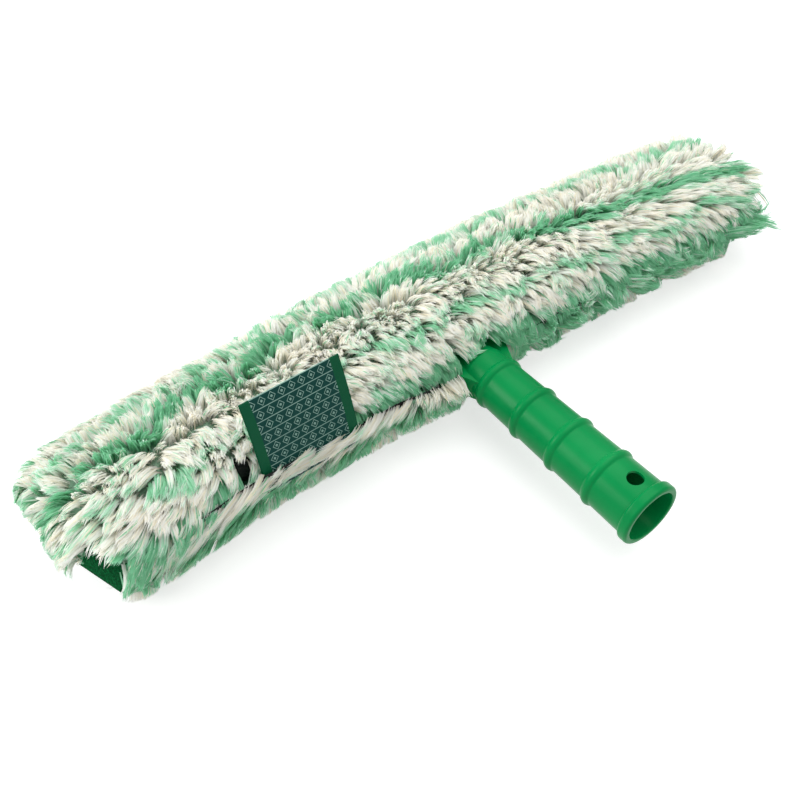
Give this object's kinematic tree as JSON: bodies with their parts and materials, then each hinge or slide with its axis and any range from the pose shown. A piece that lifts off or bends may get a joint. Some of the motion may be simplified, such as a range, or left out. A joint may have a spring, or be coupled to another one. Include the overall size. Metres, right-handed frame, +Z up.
{
  "type": "window scrubber",
  "caption": "T-shaped window washer: a moulded handle with a pole socket on a crossbar, wrapped in a striped plush sleeve that opens along its front edge.",
  "frame": {"origin": "centre of the pole socket's mouth, at the free end of the handle", "axes": "-Y points out of the socket's mouth, +Y from the mouth to the crossbar, X along the crossbar with the label on the -X side, +Z up from the surface the scrubber lies on"},
  "size_m": [0.482, 0.2177, 0.0838],
  "materials": {
    "moulded_green": "satin",
    "bar_green": "satin",
    "screw_steel": "satin",
    "plush": "matte",
    "hook_tape": "matte",
    "loop_tape": "matte",
    "napped_tab": "matte",
    "label_ribbon": "satin"
  },
  "bodies": {
    "t_bar": {"handle": "moulded_green", "crossbar": "bar_green", "end_cap_left": "bar_green", "end_cap_right": "bar_green", "bar_screws": "screw_steel"},
    "sleeve_fold": {"rear_fold": "plush"},
    "sleeve_top": {"upper_panel": "plush", "hook_strip_left": "hook_tape", "hook_strip_right": "hook_tape"},
    "sleeve_bottom": {"lower_panel": "plush", "loop_strip_left": "loop_tape", "loop_strip_right": "loop_tape"},
    "left_tab": {"end_tab_left": "napped_tab"},
    "right_tab": {"end_tab_right": "napped_tab"},
    "label": {"woven_label": "label_ribbon"}
  },
  "joints": [
    {"name": "sleeve_pull_off", "type": "slide", "parent": "t_bar", "child": "sleeve_fold", "axis": [0, 1, 0], "range_m": [0, 0.06]},
    {"name": "upper_panel_open", "type": "hinge", "parent": "sleeve_fold", "child": "sleeve_top", "pos_m": [0, 0.182, 0.031], "axis": [-1, 0, 0], "range_deg": [0, 85]},
    {"name": "lower_panel_open", "type": "hinge", "parent": "sleeve_fold", "child": "sleeve_bottom", "pos_m": [0, 0.182, -0.029], "axis": [1, 0, 0], "range_deg": [0, 85]},
    {"name": "left_tab_peel", "type": "hinge", "parent": "sleeve_bottom", "child": "left_tab", "pos_m": [-0.2276, 0.147, -0.024], "axis": [0, -1, 0], "range_deg": [0, 105]},
    {"name": "right_tab_peel", "type": "hinge", "parent": "sleeve_bottom", "child": "right_tab", "pos_m": [0.2276, 0.147, -0.024], "axis": [0, 1, 0], "range_deg": [0, 105]},
    {"name": "label_flip", "type": "hinge", "parent": "sleeve_top", "child": "label", "pos_m": [-0.1125, 0.1191, 0.0082], "axis": [1, 0, 0], "range_deg": [0, 95]}
  ],
  "couplings": [
    {"joint": "upper_panel_open", "follows": "sleeve_pull_off", "rad_per_m": 24.7},
    {"joint": "lower_panel_open", "follows": "sleeve_pull_off", "rad_per_m": 24.7}
  ]
}
